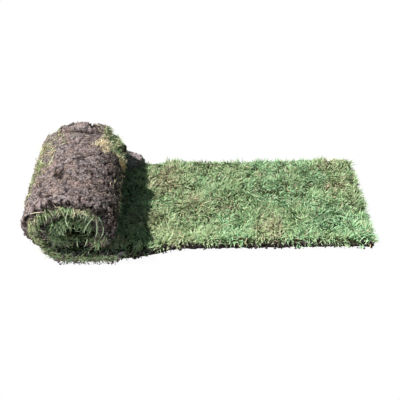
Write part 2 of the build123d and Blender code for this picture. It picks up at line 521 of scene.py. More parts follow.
def soil_relief(mat, points, along, across):
    """How far the soil stands out, and how much of that is fine relief, by which the soil is also coloured,
    as painted shade in its pits, creases and cracks and painted highlight on its clods.
    The relief is the sum of broad rises, boulders, clods, crumbs and grain, less pits, creases, two cracks
    and the torn patch. It is roughest in patches, along the near edge, down the right flank and on the
    crown's lip."""
    form = bpy.context.scene.turf_relief
    turned = np.degrees(mat.turn_of(along))
    wander = 0.016 * (noise(points, 0.045, seed=51) - 0.5)
    lip = mat.half - form.lip_inset + wander - (turned - 180) * 0.0004
    on_crown = smooth((turned - 146) / 10) * smooth((212 - turned) / 10)
    rough_patches = 0.5 * smooth((noise(points, 0.07, seed=45) - 0.50) / 0.25)
    near_edge = smooth((-across - mat.half + 0.055) / 0.05) * smooth((turned - 60) / 60)
    right_flank = smooth((turned - 205) / 30) * smooth((-across + 0.02) / 0.15)
    past_lip = on_crown * smooth((across - lip + 0.012) / 0.01)
    rough = np.maximum.reduce([rough_patches, near_edge, right_flank, past_lip])

    clod, number = cells(points, form.clod, seed=11)
    crumb, _ = cells(points, form.clod * 0.5, seed=23)
    boulder, _ = cells(points, form.clod * 2.6, seed=37)
    pits = smooth((noise(points, 0.0100, seed=41) - 0.66) / 0.10)
    veins = bump(noise(points, 0.026, seed=43), 0.5, 0.028)
    creases = veins * smooth((noise(points, 0.05, seed=47) - 0.42) / 0.2)
    fine = form.clod_height * (0.42 - clod**2 + 0.5 * (number - 0.5)) * (0.25 + 0.60 * rough)
    fine += form.crumb_height * (0.4 - crumb**2)
    fine += form.grain_height * (fractal(points, 0.011, 3, seed=31) - 0.5)
    fine -= form.pit_depth * pits * (0.35 + 0.65 * rough)
    fine -= form.crease_depth * creases * (0.55 + 0.45 * rough)
    relief = fine + form.broad_height * (fractal(points, 0.075, 2, seed=3) - 0.5)
    relief += form.boulder_height * rough * (0.45 - boulder**2)

    crack = form.lip_crack * bump(across, lip - 0.003, 0.0030) * bump(turned, 177, 20)
    slant = (across - 0.010) - (turned - 193) * 0.0016 + wander * 0.5
    crack += form.slanting_crack * bump(turned, 193, 12) * bump(slant, 0, 0.0030)
    relief += form.lip_height * on_crown * smooth((across - lip) / 0.008) - crack
    torn = form.torn_depth * torn_patch(points, across, turned)
    # The cracks are painted darker as painted shade, and the torn patch is darker too
    return relief - torn, fine - 0.3 * torn - 0.6 * crack


def ragged_edge(mat, points, along):
    """How far the soil's cut edges wander out, more so at the roll's heel, less the bites out of them."""
    form = bpy.context.scene.turf_relief
    heel = 1 + bump(along, mat.roll_start - 0.02, 0.12)
    bites = form.bite_depth * smooth((noise(points, 0.016, seed=65) - 0.62) / 0.15)
    return form.raggedness * heel * (fractal(points, 0.035, 3, seed=61) - 0.55) - bites


def painted_shade(mat, along, across, sideways):
    """How much darker the soil is painted than its relief makes it, as painted shade. It is darkest down the
    right flank, which lies away from the sun, and on the cut edges, which are darkest along the flat run, and
    a little darker towards the near end."""
    right_flank = 1.35 * bump(np.degrees(mat.turn_of(along)), 290, 50)
    on_edge = sideways * (0.15 + 0.45 * smooth((mat.roll_start + 0.03 - along) / 0.08))
    return right_flank + on_edge + 0.04 * smooth((-across - 0.04) / 0.12)


def soil_piece(name, mat, start, stop, step, under, top, cut_ends):
    """Part of the layer of soil: the loop across the mat carried along it, every point pushed out by the
    relief. The ends shrink ring by ring to a narrow strip, and are rough where cut_ends says 1."""
    across, height, out_across, out_up = loop_across(mat.half, 0.0, mat.soil, SOIL_CORNER, under, top)
    stations = np.linspace(start, stop, max(2, round((stop - start) / step) + 1))
    shrink = np.concatenate([CLOSING[::-1], np.ones(len(stations)), CLOSING])
    stations = np.concatenate([np.full(len(CLOSING), start), stations, np.full(len(CLOSING), stop)])
    along = np.repeat(stations, len(across))
    squeeze = np.repeat(shrink, len(across))
    ring = np.tile(np.arange(len(across)), len(stations))
    sideways, upwards = out_across[ring], out_up[ring]
    middle = mat.soil / 2
    width = mat.half - (1 - squeeze) * middle
    across = np.clip(across[ring], -width, width)
    height = middle + (height[ring] - middle) * squeeze

    surface = mat.place(along, across, height)
    relief, fine = soil_relief(mat, surface, along, across)
    out = relief * np.where(upwards > 0.5, INNER_RELIEF, 1.0)
    out += ragged_edge(mat, surface, along) * np.abs(sideways)
    out += mat.clodded(along, across) * np.clip(-upwards, 0, 1)
    on_floor = (along < mat.roll_start + 0.01) & (upwards < -0.5)
    out = np.where(on_floor, -np.abs(out) * 0.5, out)
    at_start = along < (start + stop) / 2
    cut = np.where(squeeze < 1, relief, 0.0) * np.where(at_start, *cut_ends) * np.where(at_start, -1.0, 1.0)
    points = mat.place(along + cut, across + sideways * out, height + upwards * out)
    points[:, 2] = np.maximum(points[:, 2], FLOOR_GAP)

    quads = tube_quads(len(stations), len(out_across))
    piece = new_piece(name, points, quads, [], soil_material())
    # Painted shade: the soil's colour follows its fine relief and is darkened further on the right flank, the
    # cut edges and towards the near end
    give_relief_and_painted_light(piece, LEVEL_SHADE + fine / SHADE_RANGE - painted_shade(mat, along, across, np.abs(sideways)))
    close_holes(piece)
    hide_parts("soil_mat")


def thatch_piece(name, mat, start, stop, step, inset, top, columns):
    """Dead stems and shadow between the blades: a closed slab on the soil, inset from its edges, with a
    rough top that is as high as the function top says."""
    loop = loop_across(mat.half - inset, 0.0, 1.0, THATCH_CORNER, columns, columns)
    stations = np.linspace(start, stop, round((stop - start) / step) + 1)
    along = np.repeat(stations, len(loop[0]))
    across, level, sideways, _ = (np.tile(values, len(stations)) for values in loop)
    on_top = level > 0.5
    height = np.where(on_top, top(along, across), mat.soil - BEDDED)
    roughness = bpy.context.scene.turf_relief.thatch_roughness
    rough = roughness * (fractal(mat.place(along, across, height), 0.014, 3, seed=71) - 0.5)
    points = mat.place(along, across + sideways * rough * 2, height + np.where(on_top, rough, 0))
    quads = tube_quads(len(stations), len(loop[0]))
    piece = new_piece(name, points, quads, [], thatch_material())
    give_relief_and_painted_light(piece, 0.5 + rough / roughness)
    close_holes(piece)
    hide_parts("grass")


def strands_piece(name, paths, widths, sides, tint, light, replaced):
    """Closed three-sided blades. Each follows its path, with a left and a right edge at half its width along
    its side direction and a keel below them, and ends in a point. In the UV map, across is the blade's tint
    and up is how far along it the point lies, from the painted light that the blade starts with to the one
    that
    it ends with: painted shade low in the sward and painted highlight at the tips."""
    number, knots, _ = paths.shape
    rings = knots - 1
    tangent = np.gradient(paths, axis=1)[:, :rings]
    tangent /= np.linalg.norm(tangent, axis=-1, keepdims=True) + 1e-9
    side = sides[:, None, :] - tangent * np.sum(sides[:, None, :] * tangent, -1, keepdims=True)
    side /= np.linalg.norm(side, axis=-1, keepdims=True) + 1e-9
    below = np.cross(side, tangent)
    turned_over = np.where(below[:, :1, 2:] > 0, -1, 1)
    side, below = side * turned_over, below * turned_over
    half = widths[:, :rings, None] / 2
    spine = paths[:, :rings]
    ring = np.stack([spine + side * half, spine - side * half, spine + below * half * 2 * KEEL], 2)
    points = np.concatenate([ring.reshape(number, rings * 3, 3), paths[:, -1:]], 1)

    each = rings * 3 + 1
    last = (rings - 1) * 3
    quads = tube_quads(rings, 3)
    triangles = np.array([(last + k, last + (k + 1) % 3, each - 1) for k in range(3)] + [(2, 1, 0)])
    offset = np.arange(number)[:, None, None] * each
    quads, triangles = (offset + quads).reshape(-1, 4), (offset + triangles).reshape(-1, 3)
    piece = new_piece(
        name, points.reshape(-1, 3), quads, triangles, blade_material(), smooth_faces=False
    )

    tint = np.clip(tint, 0.01, 0.99)[:, None]
    u = np.concatenate([tint + np.tile([0.006, -0.006, 0.0], rings), tint], 1)
    along = np.append(np.repeat(np.arange(rings) / rings, 3), 1.0)
    v = light[:, :1] + (light[:, 1:] - light[:, :1]) * along
    uv = np.stack([u, np.clip(v, 0.01, 0.99)], -1).reshape(-1, 2)
    corners = np.zeros(len(piece.data.loops), np.int32)
    piece.data.loops.foreach_get("vertex_index", corners)
    layer = piece.data.uv_layers.new(name="OFBake")
    layer.data.foreach_set("uv", uv[corners].astype(np.float32).ravel())
    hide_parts(replaced)


def bent_paths(roots, lean, turn, lengths, bend, knots):
    """Paths that leave their roots at a lean from the vertical, towards a direction over the ground, and bend
    further over by equal steps."""
    paths = [roots]
    step = lengths / (knots - 1)
    for knot in range(knots - 1):
        now = lean + bend * knot / (knots - 1)
        paths.append(paths[-1] + direction(now, turn) * step[:, None])
    return np.stack(paths, 1)


def flowing_paths(roots, way, step, pull, knots):
    """Paths that leave their roots along a way, which a steady pull then turns, by equal steps."""
    paths = [roots]
    for _ in range(knots - 1):
        paths.append(paths[-1] + way / np.linalg.norm(way, axis=-1, keepdims=True) * step[:, None])
        way = way + pull
    return np.stack(paths, 1)


def curved_paths(handles, knots):
    """Paths on parabolas that each run through three handles, and through the middle one halfway."""
    share = np.linspace(0, 1, knots)[None, :, None]
    first, middle, last = (handles[:, k, None, :] for k in range(3))
    through = 2 * middle - (first + last) / 2
    return first * (1 - share) ** 2 + 2 * through * share * (1 - share) + last * share**2


def blade_widths(number, knots, width, random):
    """Widths that grow from the root, stay nearly full to the middle of a blade and then taper to its tip."""
    along = np.linspace(0, 1, knots)
    profile = (1 - along**2.2) * (0.75 + 0.5 * np.minimum(along * 3, 0.5))
    return width * random.uniform(0.6, 1.25, (number, 1)) * profile


def within_limits(points):
    """Keeps loose ends off the floor and within a blade's reach of the model's box."""
    low, high = np.array(CAD_BOX[0]), np.array(CAD_BOX[1])
    reach = np.array([0.030, 0.018, 0.012])
    above_floor = (-9, -9, 0.0035)
    return np.clip(points, np.maximum(low - reach, above_floor), high + reach)


# Dry patches of the flat run, each by x, y, its radius and how dry it is
PATCHES = (
    (0.075, -0.235, 0.040, 0.9),
    (0.274, 0.146, 0.030, 0.75),
    (0.353, -0.019, 0.045, 0.55),
    (0.479, -0.052, 0.022, 0.9),
    (0.592, 0.109, 0.022, 0.9),
    (0.605, -0.146, 0.040, 0.55),
    (0.844, 0.057, 0.050, 0.5),
    (0.841, 0.165, 0.030, 0.45),
    (0.232, 0.076, 0.050, 0.45),
)


def sward_tint(points, random):
    """Where on the scale from straw over olive and green to blue-green a blade's colour lies: greener to the
    right, in broad drifts, with dry patches and single dead blades."""
    x, y = points[:, 0], points[:, 1]
    drift = fractal(points * (1, 1, 0), 0.10, 2, seed=81) - 0.5
    tint = 0.58 + 0.20 * smooth((x - 0.15) / 0.6) + 0.45 * drift + random.normal(0, 0.09, len(x))
    dry = random.random(len(x)) < 0.07
    for patch_x, patch_y, radius, dryness in PATCHES:
        near = bump(np.hypot(x - patch_x, y - patch_y), 0, radius)
        dry |= random.random(len(x)) < near * dryness * 0.6
        tint -= 0.16 * near
    return np.where(dry, random.uniform(0.02, 0.21, len(x)), np.clip(tint, 0.34, 0.98))


def room_below_roll(mat, x):
    """How high the roll's right flank stands over the flat run: a quarter circle, and a metre beyond it."""
    past_rest = np.maximum(x - mat.rest_x, 0)
    arc = np.sqrt(np.maximum(mat.down_radius**2 - past_rest**2, 0))
    return np.where(past_rest < mat.down_radius, mat.pitch + mat.down_radius - arc, 1.0)


def sward_piece(name, mat, x_from, x_to, number, seed):
    """Grass on one stretch of the flat run. Roots are jittered on an even grid, and the lean comes from
    noise, so that neighbouring blades fall together in tufts. Some of them hang out over the edges and the
    cut end, and those below the roll are as short as their room."""
    size = sizes()
    random = np.random.default_rng(seed)
    rows = round(math.sqrt(number * 2 * mat.half / (x_to - x_from)))
    columns = round(number / rows)
    column, row = (grid.ravel() for grid in np.meshgrid(np.arange(columns), np.arange(rows)))
    number = len(row)
    x = x_from + (column + random.random(number)) / columns * (x_to - x_from)
    across = (2 * (row + random.random(number)) / rows - 1) * (mat.half - 0.002)
    along = mat.flat_end - x
    roots = mat.place(along, across, mat.thatch_top(along, across) - 2 * BEDDED)

    clump = noise(roots, 0.020, seed=93)
    edge = smooth((np.abs(across) - mat.half + 0.018) / 0.018)
    cut = smooth((x - mat.flat_end + 0.014) / 0.014)
    turn = 3 * TAU * noise(roots, 0.055, seed=91) + random.normal(0, 0.8, number)
    lean = 0.15 + 1.1 * noise(roots, 0.025, seed=92) + random.normal(0, 0.28, number) + 0.35 * edge
    lengths = size.blade_length * (0.45 + 0.75 * clump) * random.uniform(0.6, 1.3, number)
    outward = np.where(across > 0, math.pi / 2, -math.pi / 2) + random.normal(0, 0.5, number)
    hangs = (across < 0.02 - mat.half) & (np.sin(turn) < -0.2) & (random.random(number) < 0.75)
    turn = np.where(hangs, -turn, turn)
    turn = np.where(random.random(number) < edge * 0.15, outward, turn)
    turn = np.where(random.random(number) < cut * 0.7, random.normal(0, 0.5, number), turn)
    lengths = lengths * (1 - 0.25 * np.maximum(edge, cut))
    lengths = np.minimum(lengths, np.maximum(room_below_roll(mat, x) - roots[:, 2], 0.008) * 1.05)
    paths = bent_paths(roots, np.clip(lean, 0.05, 1.35), turn, lengths, random.uniform(0.3, 2.6, number), 3)

    twist = turn + math.pi / 2 + random.normal(0, 0.5, number)
    sides = np.stack([np.cos(twist), np.sin(twist), np.zeros(number)], -1)
    widths = blade_widths(number, 3, size.blade_width, random)
    near = smooth((-across - mat.half + 0.13) / 0.13)
    low = 0.22 * clump * random.random(number) + 0.10 * near
    light = np.stack([low, low + 0.20 + 0.95 * random.random(number) ** (1.5 - 0.5 * near)], -1)
    strands_piece(name, within_limits(paths), widths, sides, sward_tint(roots, random), light, "grass")


def end_blade_places(mat, number, random):
    """How far along the mat an end's blades stand, and which of them fill the inner turn. Most are spread
    over the whole winding, some more stand on the left flank, and some in clumps below the roll."""
    inner = random.random(number) < 0.35
    along = np.where(
        inner,
        random.uniform(mat.at_turn(360), mat.length - 0.01, number),
        random.uniform(mat.roll_start - FOOT, mat.at_turn(420), number),
    )
    flank = random.random(number) < 0.10
    along = np.where(flank, random.uniform(*mat.at_turn((70, 128)), number), along)
    foot = random.uniform(mat.roll_start - 0.13, mat.at_turn(40), number)
    clumped = noise_along(foot, 0.028, seed=233) > 0.50
    return np.where((random.random(number) < 0.09) & clumped, foot, along), inner


def end_blade_shades(turned, clump, foot, inner, random):
    """The tints of an end's blades, and how light they are painted at root and tip. They are yellower on the
    left flank and below the crown, dead ones are most at the lower right, and painted light makes three
    sunlit places, the clumps at the foot and the blades of the inner turn lighter."""
    number = len(turned)
    tint = 0.66 + random.normal(0, 0.10, number) - 0.16 * bump(turned, 70, 40) - 0.12 * bump(turned, 170, 50)
    dry = random.random(number) < 0.10 + 0.30 * bump(turned, 320, 35) + 0.2 * bump(turned, 190, 30)
    tint = np.where(dry, random.uniform(*DRY, number), np.clip(tint, 0.36, 0.98))
    sunny = 0.95 * bump(turned, 92, 36) + 0.40 * bump(turned, 190, 45) + 0.75 * bump(turned, 305, 42)
    low = random.uniform(0.0, 0.15, number) + 0.3 * clump * sunny + 0.35 * clump * foot
    vivid = 1.1 * random.random(number) ** np.where(inner, 2.0, 3.0) + 0.55 * foot
    return tint, np.stack([low, low + 0.12 + 0.7 * sunny + vivid], -1)


def end_blades(name, mat, side, number, seed):
    """Blades that come out of an end of the roll. They stand on the soil's inner side, lean out of the end,
    and hang over or are bent aside. Side is -1 for the near end and 1 for the far one."""
    size = sizes()
    random = np.random.default_rng(seed)
    along, inner = end_blade_places(mat, number, random)
    turned = np.degrees(mat.turn_of(along))
    foot = bump(turned, 0, 40)
    gap = smooth((noise_along(along, 0.045, seed=215) - 0.35) / 0.3)
    inset = random.power(0.7, number) * np.where(inner, 0.050, 0.034) + 0.012 * gap * (turned > 140)
    height = random.power(0.6, number) * np.where(inner, 0.030, 0.018) * smooth(turned / 40)
    height = mat.soil - BEDDED + height + 0.020 * bump(turned, 258, 40) * ~inner
    roots = mat.place(along, side * (mat.half - 0.001 - inset), height)

    out = np.array([0.0, side, 0.0])
    clump = noise(roots, 0.016, seed=211)
    sway = random.normal(0, 0.9, number) + 5.5 * (noise(roots, 0.026, seed=212) - 0.5)
    leaning_out = 1.2 - 12 * inset + random.normal(0, 0.4, number) + 0.5 * inner
    leaning_out = out * np.clip(leaning_out, 0.15, 1.9)[:, None]
    way = mat.inward(along) * random.uniform(-0.1, 1.0, (number, 1)) + mat.forward(along) * sway[:, None]
    fall = random.uniform(0.1, 0.8, number) * (1 - 0.4 * foot)
    pull = DOWN * fall[:, None] + random.normal(0, 0.4, (number, 3)) - 0.3 * leaning_out
    reach = size.blade_length * random.uniform(0.3, 1.3, number) * (0.5 + 0.9 * clump + 0.3 * inner)
    short_right = 1 - 0.45 * bump(turned, 255, 45) * ~inner
    reach *= (1 - 0.35 * bump(turned, 95, 30)) * (1 + 0.25 * foot) * short_right
    paths = flowing_paths(roots, way + leaning_out, reach / 3, pull, 4)

    sides = mat.forward(along) + out * random.normal(0, 0.9, (number, 1))
    tint, light = end_blade_shades(turned, clump, foot, inner, random)
    widths = blade_widths(number, 4, size.blade_width * 0.8, random)
    strands_piece(name, within_limits(paths), widths, sides, tint, light, "grass")


# Long pale blades that stand out at the near end, each by its course in side view: x and z of three places
# on it. The last one is a dead stem that lies over the left flank.
LONG_BLADES = (
    ((0.003, 0.236), (-0.017, 0.186), (-0.002, 0.149)),
    ((-0.043, 0.154), (-0.034, 0.136), (-0.030, 0.123)),
    ((0.038, 0.236), (0.045, 0.208), (0.034, 0.177)),
    ((0.062, 0.189), (0.038, 0.161), (0.031, 0.135)),
    ((0.069, 0.177), (0.068, 0.143), (0.058, 0.113)),
    ((0.088, 0.160), (0.084, 0.132), (0.070, 0.109)),
    ((0.003, 0.101), (0.002, 0.088), (0.005, 0.074)),
    ((0.033, 0.100), (0.028, 0.088), (0.020, 0.074)),
    ((0.055, 0.202), (0.040, 0.212), (0.028, 0.232)),
    ((-0.118, 0.208), (-0.098, 0.222), (-0.066, 0.228)),
)
LONG_BLADE_REACH = (0.002, 0.012, 0.014)  # how far out of the end each of the three places lies


def hanging_blades(mat):
    """The long pale blades of the near end, and the thinner ones that hang from the outer turn's lip."""
    random = np.random.default_rng(221)
    number = bpy.context.scene.turf_counts.hanging_blades
    knots = 7
    courses = np.array(LONG_BLADES)
    out = np.broadcast_to(-mat.half - mat.creep - np.array(LONG_BLADE_REACH), courses.shape[:2])
    long_paths = curved_paths(np.stack([courses[..., 0], out, courses[..., 1]], -1), knots)
    along = either(random, 0.75, mat.at_turn((115, 212)), mat.at_turn((280, 335)), number)
    across = -mat.half + random.uniform(0.001, 0.016, number)
    roots = mat.place(along, across, random.uniform(0.010, 0.022, number))
    way = mat.inward(along) * 0.6 + (0, -1.0, 0) + mat.forward(along) * random.normal(0, 1.4, (number, 1))
    pull = np.array([0, 0.12, -0.55]) * random.uniform(0.2, 1.5, (number, 1))
    pull = pull + random.normal(0, 0.2, (number, 3))
    thin_paths = flowing_paths(roots, way, random.uniform(0.004, 0.0095, number), pull, knots)

    paths = np.concatenate([long_paths, thin_paths])
    total = len(paths)
    is_long = np.arange(total) < len(long_paths)
    width = np.where(is_long, random.uniform(0.0022, 0.0036, total), random.uniform(0.0012, 0.0030, total))
    widths = width[:, None] * (1 - np.linspace(0, 1, knots) ** 3)
    sides = np.array([1.0, 0.0, 0.2]) + random.normal(0, 0.3, (total, 3))
    tint = either(random, 0.35, DRY, (0.45, 0.85), total)
    light = np.stack([random.uniform(0.0, 0.6, total), random.uniform(0.3, 1.0, total)], -1)
    tint[is_long], light[is_long] = 0.72, (0.85, 0.98)
    tint[len(long_paths) - 1] = 0.10
    strands_piece("hanging_blades", within_limits(paths), widths, sides, tint, light, "grass")


def foot_blades(mat):
    """Blades and straws that hang over the near edge below the roll, in clumps on otherwise bare soil."""
    random = np.random.default_rng(231)
    number = bpy.context.scene.turf_counts.foot_blades
    along = random.uniform(mat.roll_start - FOOT, mat.at_turn(35), number)
    along = along[noise_along(along, 0.020, seed=232) > 0.53]
    number = len(along)
    across = -mat.half + random.uniform(-0.004, 0.006, number)
    roots = mat.place(along, across, mat.soil * random.uniform(0.7, 1.4, number))
    way = np.array([0, -1.0, 0.3]) + mat.forward(along) * random.normal(0, 1.0, (number, 1))
    pull = np.array([0, 0.1, -0.5]) * random.uniform(0.3, 1.5, (number, 1))
    pull = pull + random.normal(0, 0.25, (number, 3))
    paths = flowing_paths(roots, way, random.uniform(0.003, 0.0125, number), pull, 4)
    tint = either(random, 0.35, DRY, (0.4, 0.8), number)
    # Painted shade keeps most of these blades dark below the roll, and painted light makes a few of them pale
    pale = 0.6 * (random.random(number) < 0.15)
    light = np.stack([random.uniform(0.0, 0.2, number) + pale, random.uniform(0.1, 0.5, number) + pale], -1)
    widths = blade_widths(number, 4, 0.0030, random)
    sides = np.array([1.0, 0.0, 0.2]) + random.normal(0, 0.4, (number, 3))
    strands_piece("foot_blades", within_limits(paths), widths, sides, tint, light, "grass")


def outside(mat, along, across, lift):
    """Points that lie on the rolled soil's outer face, lifted clear of it."""
    relief, _ = soil_relief(mat, mat.place(along, across, np.zeros_like(along)), along, across)
    return mat.place(along, across, -(relief + mat.clodded(along, across) + lift))


class Tuft:
    """Grass that pokes out through the outside of the roll: where it is, by the turn in degrees and the place
    across, how far it spreads along and across, how many blades it has, how long they are, how straight they
    stand up from the soil, the range of their tints and the share of dead straws among them."""

    def __init__(self, turn, across, spread_along, spread_across, blades, reach, upright, tint, dry=0.0):
        self.turn, self.across = turn, across
        self.spread_along, self.spread_across = spread_along, spread_across
        self.blades, self.reach, self.upright, self.tint, self.dry = blades, reach, upright, tint, dry


# The straw patch, the grass and the orange straws of the right shoulder, then the thin grass of the left
# flank, and last the few blades of the right one
TUFTS = (
    Tuft(209, 0.090, 0.022, 0.028, 560, 0.020, 0.5, (0.00, 0.10)),
    Tuft(216, 0.108, 0.026, 0.018, 150, 0.020, 0.45, (0.00, 0.14)),
    Tuft(212, 0.168, 0.020, 0.036, 260, 0.022, 0.5, (0.38, 0.60), 0.2),
    Tuft(222, 0.125, 0.022, 0.034, 140, 0.022, 0.5, (0.34, 0.60), 0.5),
    Tuft(231, 0.130, 0.028, 0.045, 480, 0.022, 0.5, (0.42, 0.78), 0.1),
    Tuft(243, 0.090, 0.020, 0.028, 300, 0.022, 0.6, (0.36, 0.66), 0.3),
    Tuft(245, 0.064, 0.012, 0.015, 260, 0.014, 0.7, (0.21, 0.25)),
    Tuft(240, 0.070, 0.012, 0.020, 90, 0.018, 0.6, (0.02, 0.20)),
    Tuft(144, 0.100, 0.046, 0.080, 300, 0.036, -0.10, (0.36, 0.56), 0.35),
    Tuft(128, 0.110, 0.026, 0.070, 400, 0.030, 0.0, (0.36, 0.62), 0.2),
    Tuft(142, 0.000, 0.026, 0.040, 110, 0.036, -0.10, (0.36, 0.56), 0.3),
    Tuft(126, -0.020, 0.024, 0.050, 240, 0.030, 0.0, (0.36, 0.62), 0.2),
    Tuft(118, -0.085, 0.018, 0.034, 90, 0.022, 0.0, (0.34, 0.56), 0.3),
    Tuft(250, -0.060, 0.050, 0.080, 90, 0.018, 0.3, (0.34, 0.50), 0.4),
)


def clumped_ways(points):
    """A direction at each place that changes slowly, so that blades lie together."""
    return np.stack([noise(points, 0.022, 321 + axis) for axis in range(3)], -1) - 0.5


def tuft_paths(mat, tuft, random):
    """A tuft's blades, which come out of the soil, lie together and fall over towards the ground."""
    number = tuft.blades
    along = mat.at_turn(tuft.turn) + random.normal(0, tuft.spread_along * 0.6, number)
    across = tuft.across + random.normal(0, tuft.spread_across * 0.6, number)
    roots = outside(mat, along, np.clip(across, -mat.half, mat.half - 0.002), 0.0)
    outwards = -mat.inward(along)
    loose = random.normal(0, 0.6, (number, 3)) + 5 * clumped_ways(roots)
    loose -= outwards * np.sum(loose * outwards, -1, keepdims=True)
    way = outwards * (tuft.upright + 0.15) + loose * 0.8 + 0.2 * DOWN
    step = tuft.reach * random.uniform(0.4, 1.3, number) / 4
    pull = 0.18 * DOWN + random.normal(0, 0.35, (number, 3)) - outwards * 0.12
    return flowing_paths(roots, way, step, pull, 5)


def tufts_piece(mat):
    """Every tuft's blades, in one piece. The dead straws of a tuft share a tint."""
    random = np.random.default_rng(311)
    paths, tints = [], []
    for tuft in TUFTS:
        paths.append(tuft_paths(mat, tuft, random))
        dry = random.random(tuft.blades) < tuft.dry
        tints.append(np.where(dry, random.uniform(0.02, 0.19), random.uniform(*tuft.tint, tuft.blades)))
    paths, tint = np.concatenate(paths), np.concatenate(tints)
    number = len(paths)
    widths = blade_widths(number, 5, 0.0027, random)
    low = np.where(tint < 0.28, 0.32, 0.08) + random.uniform(0.0, 0.30, number)
    light = np.stack([low, low + random.uniform(0.15, 0.80, number)], -1)
    sides = random.normal(0, 1, (number, 3))
    strands_piece("tufts", within_limits(paths), widths, sides, tint, light, "grass")


def roots_piece(mat):
    """Fine roots and bits of straw that lie on the outside of the roll and wander over the clods."""
    random = np.random.default_rng(301)
    number = bpy.context.scene.turf_counts.roots
    knots = 6
    along = random.uniform(*mat.at_turn((20, 255)), number)
    across = random.uniform(-mat.half + 0.004, mat.half - 0.004, number)
    heading = random.uniform(0, TAU, number)
    step = random.uniform(0.002, 0.006, number)
    paths = []
    for _ in range(knots):
        lift = 0.0002 + 0.0018 * random.random(number)
        paths.append(outside(mat, along, np.clip(across, -mat.half, mat.half), lift))
        heading = heading + random.normal(0, 0.45, number)
        along = along + np.cos(heading) * step
        across = across + np.sin(heading) * step
    sides = mat.forward(along) + random.normal(0, 0.5, (number, 3))
    widths = random.uniform(0.0006, 0.0016, (number, 1)) * np.linspace(1, 0.5, knots)
    tint = random.uniform(0.02, 0.20, number)
    light = np.stack([random.uniform(0.35, 0.6, number), random.uniform(0.5, 0.95, number)], -1)
    strands_piece("roots", np.stack(paths, 1), widths, sides, tint, light, "soil_mat")


def twenty_faces():
    """The corners of a regular lump with twenty faces, at a distance of 1, and its faces. The corners are
    those of three golden rectangles set crosswise, and three that are next to each other carry a face."""
    golden = (1 + math.sqrt(5)) / 2
    corners = np.array([(0, a, b) for a in (-1, 1) for b in (-golden, golden)], float)
    corners = np.concatenate([corners, np.roll(corners, 1, axis=1), np.roll(corners, 2, axis=1)])
    corners /= np.linalg.norm(corners[0])
    next_to = np.linalg.norm(corners[:, None] - corners[None], axis=-1) < 1.1
    faces = []
    for i, j, k in ((i, j, k) for i in range(12) for j in range(i + 1, 12) for k in range(j + 1, 12)):
        if next_to[i, j] and next_to[j, k] and next_to[i, k]:
            outwards = np.dot(np.cross(corners[j] - corners[i], corners[k] - corners[i]), corners[i]) > 0
            faces.append((i, j, k) if outwards else (i, k, j))
    return corners, np.array(faces)


def crumbs_piece(name, centres, radii, seed, relief=(0.3, 0.75)):
    """Loose crumbs: small twenty-faced lumps whose corners are pushed in and out. The relief's range sets how
    dark and how pale they are."""
    random = np.random.default_rng(seed)
    corners, faces = twenty_faces()
    number = len(centres)
    shape = corners * random.uniform(0.6, 1.2, (number, 12, 1)) * random.uniform(0.6, 1.2, (number, 1, 3))
    points = centres[:, None] + shape * radii[:, None, None]
    points[..., 2] = np.maximum(points[..., 2], CRUMB_GAP)
    triangles = (np.arange(number)[:, None, None] * 12 + faces).reshape(-1, 3)
    piece = new_piece(name, points.reshape(-1, 3), [], triangles, soil_material(), smooth_faces=False)
    give_relief_and_painted_light(piece, np.repeat(random.uniform(*relief, number), 12))


def near_crumbs(mat, along, height, out):
    """Places at the near edge, so far out of it. Those in the roll lie in its near end."""
    points = mat.place(along, np.full(len(along), -mat.half), height)
    points[:, 1] -= out
    return points


def edge_crumbs(mat, random, number):
    """Crumbs along the flat run's near edge, most of them just outside it."""
    radii = 0.0012 + 0.0050 * random.random(number) ** 2
    along = random.uniform(0.0, mat.roll_start + 0.03, number)
    points = near_crumbs(mat, along, radii * 0.5, random.power(0.5, number) * 0.015 - 0.008)
    points[:, 2] += random.random(number) * 0.024
    # Their dark range is partly the dark soil of the cut edge and partly painted shade under the hanging
    # grass
    crumbs_piece("edge_crumbs", within_limits(points), radii, seed=402, relief=(0.0, 0.4))


def soil_crumbs(mat, random, number):
    """Crumbs on the outside of the roll, sunk into it by less than half."""
    along = random.uniform(*mat.at_turn((25, 245)), number)
    across = random.uniform(-mat.half, mat.half, number)
    radii = random.uniform(0.0010, 0.0034, number)
    crumbs_piece("soil_crumbs", outside(mat, along, across, radii * 0.3), radii, seed=403)


def heel_crumbs(mat, random, number):
    """Crumbs of all sizes in the angle below the roll's near end."""
    radii = 0.0018 + 0.0080 * random.random(number) ** 2
    along = random.uniform(mat.roll_start - FOOT, mat.at_turn(50), number)
    points = mat.place(along, np.full(number, 0.001 - mat.half), random.uniform(-0.002, 0.036, number))
    points[:, 1] -= random.normal(0, 0.004, number)
    # Painted light: their range reaches pale, to lighten them in the shade below the roll
    crumbs_piece("heel_crumbs", within_limits(points), radii, seed=404, relief=(0.15, 0.95))


def fallen_crumbs(random, number):
    """Crumbs that lie on the ground before the roll."""
    points = random.uniform((-0.07, -0.262, 0.0005), (0.11, -0.242, 0.004), (number, 3))
    crumbs_piece("fallen_crumbs", points, random.uniform(0.0010, 0.0036, number), seed=406)


def lip_crumbs(mat, random, number):
    """Crumbs on the edge of the outer turn's right flank, which is thick with them."""
    turn = random.normal(262, 38, number)
    height = random.uniform(0, 0.024 + 0.034 * bump(turn, 258, 38), number)
    points = near_crumbs(mat, mat.at_turn(turn), height, random.uniform(-0.012, 0.004, number))
    radii = random.uniform(0.0020, 0.0070, number)
    # Painted shade: these crumbs are kept dark, as the right flank lies in shade
    crumbs_piece("lip_crumbs", within_limits(points), radii, seed=407, relief=(0.05, 0.62))


def clinging_crumbs(mat, random, number):
    """Crumbs that cling between the turns at the near end, most where the inner turn comes forward."""
    radii = random.uniform(0.0014, 0.0052, number)
    showing = random.random(number) < 0.75
    turn = np.where(showing, random.normal(410, 32, number), random.uniform(40, 640, number))
    height = mat.soil + random.uniform(-0.002, 0.026, number) - np.where(showing, 0.016, 0)
    points = near_crumbs(mat, mat.at_turn(turn), height, random.uniform(-0.006, 0.010, number))
    crumbs_piece("clinging_crumbs", within_limits(points), radii, seed=405, relief=(0.3, 0.95))


